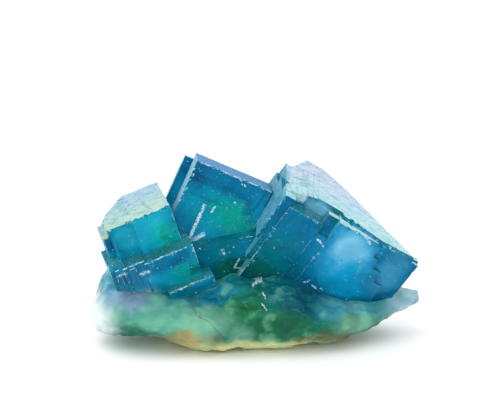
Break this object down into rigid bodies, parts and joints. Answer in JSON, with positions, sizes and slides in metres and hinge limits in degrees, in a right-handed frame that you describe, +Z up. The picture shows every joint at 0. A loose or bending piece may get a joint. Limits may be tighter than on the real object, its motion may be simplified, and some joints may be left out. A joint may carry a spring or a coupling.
{
  "type": "fluorite crystal cluster",
  "caption": "Cluster of intergrown cubic fluorite crystals with stepped, chipped edges, standing on the broken base that they grew from.",
  "frame": {"origin": "middle of the bounding box's underside, on the plane that the specimen rests on", "axes": "+X to the right along the row of crystals, +Y from their front faces to the back, +Z up"},
  "size_m": [0.0428, 0.0196, 0.0243],
  "materials": {
    "fluorite": "vitreous blue-green crystal faces, frosted growth faces and a translucent broken base"
  },
  "bodies": {
    "root": {"fluorite_cluster": "fluorite"}
  },
  "joints": []
}
